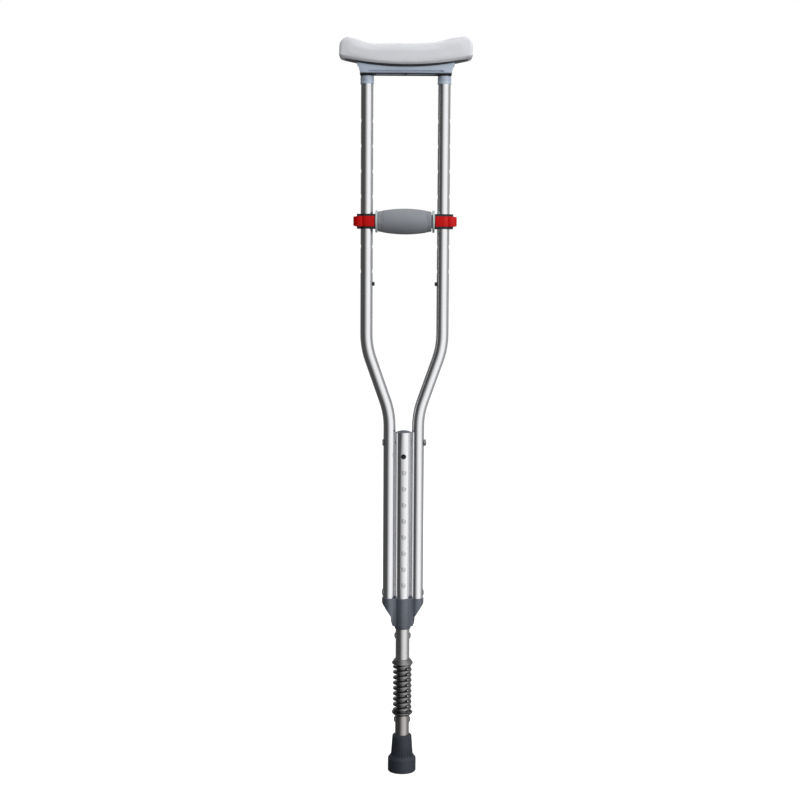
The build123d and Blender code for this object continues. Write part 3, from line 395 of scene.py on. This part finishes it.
def foam_finish():
    """Pale foam with a closed skin and fine pores. Painted shade darkens it over the underside."""
    constants = {"Sheen Weight": 0.15, "Sheen Roughness": 0.6, "Specular IOR Level": 0.35}
    finish = Finish("pale_foam_skin", constants)
    fine = finish.noise(2200, detail=2.0)
    skin = 0.6 * finish.noise((14, 30, 30)) + 0.4 * fine
    pale = finish.blend(skin, tone(203, 205, 210), tone(224, 225, 229))
    # Painted shade: this dark skin colour stands in for the shade on the pad's underside.
    dark = finish.blend(skin, tone(30, 32, 38), tone(48, 50, 57))
    across = finish.along("X")
    over_arc = finish.along("Z") - across * across * (0.5 / painted_shade_arc_radius)
    painted_shade_top = cushion_middle_z + painted_shade_height
    above_painted_shade = finish.ramp(over_arc, painted_shade_top, painted_shade_top + painted_shade_softness)
    relief = 0.6 * finish.ramp(finish.cells(900), 0.1, 0.55) + 0.4 * fine
    return finish.surface(finish.blend(above_painted_shade, dark, pale), 0.66 + 0.2 * fine, relief, 0.09 * MM)


def grip_finish():
    """Grey foam rubber: a fine speckle and a dry, matt surface."""
    finish = Finish("grey_grip_rubber", {"Specular IOR Level": 0.4})
    speckle = finish.cells(1300)
    fine = finish.noise(2600, detail=2.0)
    shade = 0.45 * finish.noise(40) + 0.35 * finish.ramp(speckle, 0.05, 0.6) + 0.2 * fine
    colour = finish.blend(shade, tone(118, 121, 127), tone(147, 150, 156))
    return finish.surface(colour, 0.58 + 0.2 * fine, speckle, 0.1 * MM)


foam_skin = foam_finish()
grip_rubber = grip_finish()
print("foams:", foam_skin.name, grip_rubber.name)

# %% [markdown]
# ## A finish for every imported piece
#
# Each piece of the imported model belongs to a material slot, so the finishes are given by slot.
# The meshes stay as they are: only their material changes. Two tubes then get their own, duller
# metal.

# %% Finish by slot
finish_of_slot = {
    "cushion_foam": foam_skin,
    "base_plastic": base_plastic,
    "tube_aluminium": tube_metal,
    "fastener_steel": rivet_steel,
    "dark_screw_steel": screw_steel,
    "button_steel": button_steel,
    "spring_black": spring_paint,
    "yoke_plastic": yoke_plastic,
    "black_plastic": black_plastic,
    "red_plastic": red_plastic,
    "grip_rubber": grip_rubber,
    "ring_plastic": ring_plastic,
    "tip_rubber": tip_rubber,
    "bush_nylon": bush_nylon,
}
slot_of_node = {part["node"]: part["material_slot"] for part in frame["record"]["subparts"]}
for name, node in nodes.items():
    node.data.materials.clear()
    node.data.materials.append(finish_of_slot[slot_of_node[name]])
# Painted shade: the leg's darker metal darkens the centre tube's holes, where it shows through.
nodes["leg_tube"].data.materials[0] = leg_metal_and_hole_shade
nodes["foot_tube"].data.materials[0] = foot_metal
print("finished nodes:", len(nodes))

# %% [markdown]
# ## Tools for the modelled pieces
#
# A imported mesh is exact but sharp: real mouldings have rounded edges that catch the light. A free
# copy of such a mesh has its doubled points merged, its flat faces joined again, and its edges
# bevelled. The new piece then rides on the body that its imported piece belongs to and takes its
# place.

# %% Selecting and drawing
weld_reach = 0.01 * MM


def clear_selection():
    """Back to object mode with nothing selected."""
    if bpy.context.mode != "OBJECT":
        bpy.ops.object.mode_set(mode="OBJECT")
    bpy.ops.object.select_all(action="DESELECT")


def pick(piece):
    """Makes one piece the only selected and active one."""
    clear_selection()
    piece.select_set(True)
    bpy.context.view_layer.objects.active = piece


def edit_all(piece):
    """Opens a piece in edit mode with everything in it selected."""
    pick(piece)
    bpy.ops.object.mode_set(mode="EDIT")
    bpy.ops.mesh.select_all(action="SELECT")


def draw_outline(name, points):
    """A closed chain of edges, drawn by extruding one point from place to place."""
    clear_selection()
    bpy.ops.mesh.primitive_plane_add(size=1 * MM, location=points[0])
    outline = bpy.context.object
    outline.name = name
    bpy.ops.object.transform_apply(location=True)
    bpy.ops.object.mode_set(mode="EDIT")
    bpy.ops.mesh.merge(type="CENTER")
    for last, point in zip(points, points[1:] + points[:1]):
        step = Vector(point) - Vector(last)
        bpy.ops.mesh.extrude_region_move(TRANSFORM_OT_translate={"value": step})
    bpy.ops.mesh.select_all(action="SELECT")
    bpy.ops.mesh.remove_doubles(threshold=weld_reach)
    return outline


print("selecting and drawing helpers ready")

# %% Copying, rounding and dressing
copy_weld_reach = 0.005 * MM
flat_angle = 0.6
bevel_from_angle = 32
crease_angle = 40
spun_crease_angle = 50


def copy_of(node_name, piece_name):
    """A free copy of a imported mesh, with its doubled points merged."""
    piece = bpy.data.objects.new(piece_name, nodes[node_name].data.copy())
    bpy.context.scene.collection.objects.link(piece)
    edit_all(piece)
    bpy.ops.mesh.remove_doubles(threshold=copy_weld_reach)
    bpy.ops.mesh.normals_make_consistent(inside=False)
    clear_selection()
    return piece


def apply_modifier(piece, kind, **settings):
    """Adds one modifier, sets it and applies it."""
    modifier = piece.modifiers.new(kind.lower(), kind)
    for name, value in settings.items():
        setattr(modifier, name, value)
    pick(piece)
    bpy.ops.object.modifier_apply(modifier=modifier.name)


def smooth(piece, angle):
    """Smooth shading, kept sharp where two faces meet at more than the angle in degrees."""
    pick(piece)
    bpy.ops.object.shade_smooth_by_angle(angle=radians(angle))


def round_edges(piece, width):
    """Joins the flat faces of a copied mesh and rounds its edges. The width is in mm."""
    edit_all(piece)
    bpy.ops.mesh.dissolve_limited(angle_limit=radians(flat_angle))
    clear_selection()
    apply_modifier(
        piece,
        "BEVEL",
        width=width * MM,
        segments=3,
        limit_method="ANGLE",
        angle_limit=radians(bevel_from_angle),
        use_clamp_overlap=True,
    )
    smooth(piece, crease_angle)


body_of_node = {}
for body, body_nodes in frame["record"]["behaviour"]["bodies"].items():
    body_of_node.update(dict.fromkeys(body_nodes, body))


def dress(piece, node_name):
    """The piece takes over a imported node: its body, its slot and its finish."""
    slot = slot_of_node[node_name]
    piece.data.materials.clear()
    piece.data.materials.append(finish_of_slot[slot])
    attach(piece, body_of_node[node_name])
    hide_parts(node_name)


print("copying, rounding and dressing helpers ready")

# %% [markdown]
# ## The underarm cushion
#
# The pad is closed foam in a smooth skin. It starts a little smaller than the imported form, is
# remeshed into an even net, and a short cloth run with inside pressure swells it, so its faces
# crown and its edges turn softly. No point may move further than the cap, and the underside stays
# just clear of the base. A soft lip then runs round the pad over its dark underside.

# %% Cushion form
start_inset = 0.9 * MM
net_size = 2.2 * MM


def push_out(piece, reach):
    """Moves each point of a mesh along its normal by the reach that suits the point."""
    normals = [point.normal.copy() for point in piece.data.vertices]
    for point, normal in zip(piece.data.vertices, normals):
        point.co += normal * reach(point.co, normal)


cushion = copy_of("underarm_cushion", "foam_cushion")
push_out(cushion, lambda place, normal: -start_inset)
pick(cushion)
cushion.data.remesh_voxel_size = net_size
bpy.ops.object.voxel_remesh()
rest_points = [point.co.copy() for point in cushion.data.vertices]
rest_normals = [point.normal.copy() for point in cushion.data.vertices]
print("cushion net points:", len(rest_points))

# %% Cushion swell
swell_cap = 1.3 * MM
under_clearance = 0.1 * MM
swell_pressure = 4.0
swell_frames = 20

swell = cushion.modifiers.new("swell", "CLOTH")
swell.settings.use_pressure = True
swell.settings.uniform_pressure_force = swell_pressure
swell.settings.effector_weights.gravity = 0.0
swell.settings.quality = 5
swell.point_cache.frame_start = 1
swell.point_cache.frame_end = swell_frames
for step in range(1, swell_frames + 1):
    bpy.context.scene.frame_set(step)
pick(cushion)
bpy.ops.object.modifier_apply(modifier=swell.name)
under_cut = swell_cap - start_inset + under_clearance
for point, rest, normal in zip(cushion.data.vertices, rest_points, rest_normals):
    move = point.co - rest
    cap = swell_cap - max(0.0, -normal.z) * under_cut
    if move.length > cap:
        point.co = rest + move * (cap / move.length)
apply_modifier(cushion, "SMOOTH", factor=0.5, iterations=3)
apply_modifier(cushion, "SUBSURF", levels=1, render_levels=1)
pick(cushion)
bpy.ops.object.shade_smooth()
print("cushion faces:", len(cushion.data.polygons))

# %% Cushion lip
cushion_under_radius = 425.0 * MM
lip_height = 5.6 * MM
lip_half_width = 2.6 * MM
lip_proud = 0.35 * MM
steepest_side = 0.7


def bump_share(away):
    """A rounded bump that is 1 at 0 and ends at a distance of 1."""
    return 0.5 * (1 + cos(pi * away)) if away < 1 else 0.0


def lip_reach(place, normal):
    """How far the lip stands out at a point. Only the pad's sides have it."""
    under = cushion_middle_z + place.x**2 / (2 * cushion_under_radius)
    share = bump_share(abs(place.z - under - lip_height) / lip_half_width)
    return lip_proud * share if abs(normal.z) < steepest_side else 0.0


push_out(cushion, lip_reach)
dress(cushion, "underarm_cushion")
print("cushion lip at", round(lip_height / MM, 1), "mm over its lower edge")

# %% [markdown]
# ## The hand grip
#
# The grip is a foam sleeve with a barrel's outline. Three fine grooves run round it near each
# end. Its half outline is drawn once as points, and spun about the grip's axis. A small gap stays
# open at the right end, where the sleeve stops short of its ring.

# %% Grip outline
grip_low, grip_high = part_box("hand_grip")
grip_half = (grip_high[0] - grip_low[0]) / 2
grip_height = (grip_low[2] + grip_high[2]) / 2
grip_end_radius = 15.2 * MM
grip_bulge = 4.5 * MM
grip_bore = 10.5 * MM
grip_groove_places = (3.2 * MM, 5.4 * MM, 7.6 * MM)
grip_groove_half = 0.75 * MM
grip_groove_depth = 0.65 * MM
grip_lip = 0.9 * MM
right_gap = 1.1 * MM


def sleeve_radius(along):
    """The outer radius at a distance from the grip's middle."""
    from_end = grip_half - abs(along)
    radius = grip_end_radius + grip_bulge * (1 - (along / grip_half) ** 2)
    for place in grip_groove_places:
        radius -= grip_groove_depth * bump_share(abs(from_end - place) / grip_groove_half)
    if from_end < grip_lip:
        radius -= grip_lip - (grip_lip**2 - (grip_lip - from_end) ** 2) ** 0.5
    return radius


print("grip half length", round(grip_half / MM, 1), "mm, middle at", round(grip_height / MM, 1))

# %% Grip sleeve
fine_step = 0.25 * MM
fine_reach = 9.0 * MM
fine_count = int(fine_reach / fine_step)
coarse_count = 20
sleeve_sides = 96
half_places = [grip_half - step * fine_step for step in range(fine_count)]
coarse_start = half_places[-1]
half_places += [coarse_start * (1 - step / coarse_count) for step in range(1, coarse_count)]
sleeve_places = half_places + [0.0] + [-place for place in reversed(half_places)]
sleeve_points = []
for place in sleeve_places:
    shortened = place if place < 0 else place * (1 - right_gap / grip_half)
    sleeve_points.append((shortened, 0, grip_height + sleeve_radius(place)))
sleeve_points.append((-grip_half, 0, grip_height + grip_bore))
sleeve_points.append((grip_half - right_gap, 0, grip_height + grip_bore))
sleeve = draw_outline("grip_sleeve", sleeve_points)
bpy.ops.mesh.spin(
    steps=sleeve_sides, angle=2 * pi, center=(0, 0, grip_height), axis=(1, 0, 0)
)
bpy.ops.mesh.select_all(action="SELECT")
bpy.ops.mesh.remove_doubles(threshold=weld_reach)
bpy.ops.mesh.normals_make_consistent(inside=False)
smooth(sleeve, spun_crease_angle)
dress(sleeve, "hand_grip")
print("grip sleeve faces:", len(sleeve.data.polygons))

# %% [markdown]
# ## The coil spring
#
# A round wire section is screwed up along a helix and its two ends are ground flat, so the
# spring seats squarely.

# %% Coil spring
spring_low, spring_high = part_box("coil_spring")
spring_height = spring_high[2] - spring_low[2]
spring_coils = 9
wire_radius = 2.65 * MM
coil_radius = 12.4 * MM
coil_pitch = spring_height / spring_coils
helix_height = spring_height + wire_radius
helix_start = spring_low[2] - wire_radius / 2
helix_turns = helix_height / coil_pitch
wire_sides = 20
steps_per_turn = 48
helix_steps = int(steps_per_turn * helix_turns)
clear_selection()
bpy.ops.mesh.primitive_circle_add(
    vertices=wire_sides,
    radius=wire_radius,
    location=(coil_radius, 0, helix_start),
    rotation=(pi / 2, 0, 0),
)
spring = bpy.context.object
spring.name = "shock_spring"
bpy.ops.object.transform_apply(location=True, rotation=True)
apply_modifier(
    spring,
    "SCREW",
    angle=2 * pi * helix_turns,
    screw_offset=helix_height,
    steps=helix_steps,
    render_steps=helix_steps,
    use_merge_vertices=False,
)
for height, direction in ((spring_low[2], -1), (spring_high[2], 1)):
    edit_all(spring)
    bpy.ops.mesh.bisect(
        plane_co=(0, 0, height), plane_no=(0, 0, direction), use_fill=True, clear_outer=True
    )
edit_all(spring)
bpy.ops.mesh.normals_make_consistent(inside=False)
smooth(spring, spun_crease_angle)
print("spring turns:", round(helix_turns, 2), "faces:", len(spring.data.polygons))

# %% Dressing the spring
dress(spring, "coil_spring")
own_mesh(spring)

# %% [markdown]
# ## The snap button
#
# The button sits on a bent leaf that presses against the leg tube's far wall. A smooth-shaded
# copy of it rides on the button's body, with a mesh of its own.

# %% Snap button
button = copy_of("snap_button", "leaf_button")
smooth(button, crease_angle)
dress(button, "snap_button")
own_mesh(button)

# %% [markdown]
# ## Pieces with rounded edges
#
# The saddle base, the yoke, the brackets, the clips, the grip's end rings, the spring seats, the
# rubber tip, the centre tube and its plug keep their packed forms. Each is replaced by a copy with
# rounded edges. On the mouldings that is the radius of the mould, and on the tube it is what
# deburring leaves round the holes.

# %% Rounded edges
edge_rounding = {
    "cushion_base": 0.7,
    "lower_yoke": 0.9,
    "grip_bracket_left": 0.6,
    "grip_bracket_right": 0.6,
    "grip_clip_left": 0.9,
    "grip_clip_right": 0.9,
    "grip_end_ring_left": 0.8,
    "grip_end_ring_right": 0.8,
    "upper_spring_seat": 1.3,
    "lower_spring_seat": 0.4,
    "rubber_tip": 0.35,
    "centre_tube_plug": 0.3,
    "centre_tube": 0.55,
}
for name, width in edge_rounding.items():
    moulding = copy_of(name, "rounded_" + name)
    round_edges(moulding, width)
    dress(moulding, name)
    print(name, "rounded by", width, "mm, faces:", len(moulding.data.polygons))

# %% [markdown]
# ## The studio's surroundings
#
# The crutch stands in a white room. Where the camera, a mirror-like surface or clear glass sees
# the room it is plain white, and for everything else it is a soft fill light. So the background
# can be white without more light on the crutch.

# %% World
fill_strength = 0.5
world = bpy.data.worlds.new("white_studio")
bpy.context.scene.world = world
world.use_nodes = True
room = NodeSheet(world.node_tree)
room.tree.nodes.remove(room.tree.nodes["Background"])


def ray(sheet, kind):
    """A mask that is 1 for one kind of ray."""
    return sheet.node("ShaderNodeLightPath", output="Is " + kind + " Ray")


seen = room.node("ShaderNodeBackground", {}, {"Color": white, "Strength": 1.0})
fill = room.node("ShaderNodeBackground", {}, {"Color": white, "Strength": fill_strength})
sees_white = ray(room, "Camera") | ray(room, "Glossy") | ray(room, "Transmission")
mixed = room.node("ShaderNodeMixShader", {}, {0: sees_white, 1: fill, 2: seen})
room.feed(room.tree.nodes["World Output"].inputs["Surface"], mixed)
print("world: white to the camera, fill", fill_strength)

# %% [markdown]
# ## The floor
#
# The floor takes the crutch's shadow. It glows a little to the camera, so it meets the white room
# without an edge, and is dull grey to all other light, so it doesn't lift the crutch's undersides.
# It rides on the foot, so the crutch stands on it at every length.

# %% Floor
floor_half = 9.0
floor_gap = 0.2 * MM
floor_glow = 0.76
clear_selection()
bpy.ops.mesh.primitive_plane_add(size=2 * floor_half, location=(0, 0, -floor_gap))
floor = bpy.context.object
floor.name = "studio_floor"
paper = Finish("studio_floor", {"Roughness": 0.9, "Specular IOR Level": 0.1})
paper.surface(paper.blend(paper.noise(3), tone(200, 200, 200), tone(206, 206, 206)))
glow = paper.node("ShaderNodeEmission", {}, {"Color": white, "Strength": floor_glow})
lit = Value(paper, paper.shader.outputs[0])
bright = paper.node("ShaderNodeAddShader", {}, {0: lit, 1: glow})
dull = paper.node("ShaderNodeBsdfDiffuse", {}, {"Color": tone(96, 96, 96)})
look = paper.node("ShaderNodeMixShader", {}, {0: ray(paper, "Camera"), 1: dull, 2: bright})
paper.feed(paper.out, look)
floor.data.materials.append(paper.material)
floor.visible_glossy = False
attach(floor, "foot")
print("floor half width in metres:", floor_half)

# %% [markdown]
# ## Lamps
#
# Three soft lamps light the crutch: a wide one from the front right, a small one from above and
# one from behind for the edges. Metal doesn't show them: it reflects the white room and the cards
# that come next, so the lamps can be placed for the plastics and foams alone.

# %% Lamps
lamp_aim = Vector((0, 0, 0.62))


def softbox(name, azimuth, elevation, distance, width, height, power):
    """An area lamp round the crutch. Azimuth 0 is the camera's side, and 90 is the right."""
    across, up = radians(azimuth), radians(elevation)
    away = Vector((sin(across) * cos(up), -cos(across) * cos(up), sin(up)))
    lamp_data = bpy.data.lights.new(name, "AREA")
    lamp_data.shape = "RECTANGLE"
    lamp_data.size = width
    lamp_data.size_y = height
    lamp_data.energy = power
    lamp = bpy.data.objects.new(name, lamp_data)
    bpy.context.scene.collection.objects.link(lamp)
    lamp.location = lamp_aim + away * distance
    lamp.rotation_euler = (-away).to_track_quat("-Z", "Y").to_euler()
    lamp.visible_glossy = False


softbox("key_softbox", 32, 28, distance=3.0, width=4.2, height=4.0, power=118)
softbox("top_softbox", -20, 68, distance=2.6, width=1.6, height=1.6, power=18)
softbox("back_softbox", 178, 34, distance=3.2, width=3.0, height=3.0, power=40)
print("lamps placed:", len(bpy.data.lights))

# %% [markdown]
# ## Cards
#
# Metal shows what stands round it, so a few upright cards out of view give the tubes their dark
# side and their grey edge, as a photographer would place them. They reach below the floor, so
# that the foot of the crutch reflects them too, and get darker down there.

# %% Cards
card_distance = 0.95
card_height = 6.0
card_middle = -0.6
card_edge = 0.5
fade_from, fade_to = -0.067, 0.083
low_share = 0.12


def card(name, azimuth, width, left, right, fill_shade=None):
    """A card that metal reflects, its shade changing from left to right.

    It is a plane of size 1 that is then stretched, so its own coordinates, which its shades
    read, run from -0.5 to 0.5. With a fill shade it also takes part in the soft light from
    that side.
    """
    across = radians(azimuth)
    clear_selection()
    bpy.ops.mesh.primitive_plane_add(size=1)
    made = bpy.context.object
    made.name = name
    made.scale = (width, card_height, 1)
    made.location = (card_distance * sin(across), -card_distance * cos(across), card_middle)
    made.rotation_euler = (radians(90), 0, across)
    finish = Finish(name, {"Roughness": 1.0, "Specular IOR Level": 0.0})
    share = finish.ramp(finish.along("X"), -card_edge, card_edge)
    fade = finish.ramp(finish.along("Y"), fade_from, fade_to)
    strength = (left + (right - left) * share) * (low_share + (1 - low_share) * fade)
    if fill_shade is not None:
        soft = ray(finish, "Diffuse")
        strength = strength * (1 - soft) + fill_shade * soft
    glow = finish.node("ShaderNodeEmission", {}, {"Color": white, "Strength": strength})
    finish.feed(finish.out, glow)
    made.data.materials.append(finish.material)
    made.visible_camera = False
    made.visible_diffuse = fill_shade is not None
    made.visible_shadow = False


card("dark_card_left", -75, width=1.34, left=0.07, right=0.07, fill_shade=0.08)
card("dark_card_back_left", -145, width=1.34, left=0.55, right=0.06, fill_shade=0.4)
card("front_card", -10, width=1.1, left=0.08, right=0.95, fill_shade=0.3)
card("grey_card_right", 108, width=1.3, left=0.42, right=0.3)
card("grey_card_back_right", 160, width=0.75, left=0.3, right=0.55)
card("dark_card_back", 180, width=0.5, left=0.25, right=0.25)
print("cards placed at", card_distance, "m")

# %% [markdown]
# ## Clearing the selection
#
# At the end nothing is left selected.

# %% Clearing the selection
clear_selection()
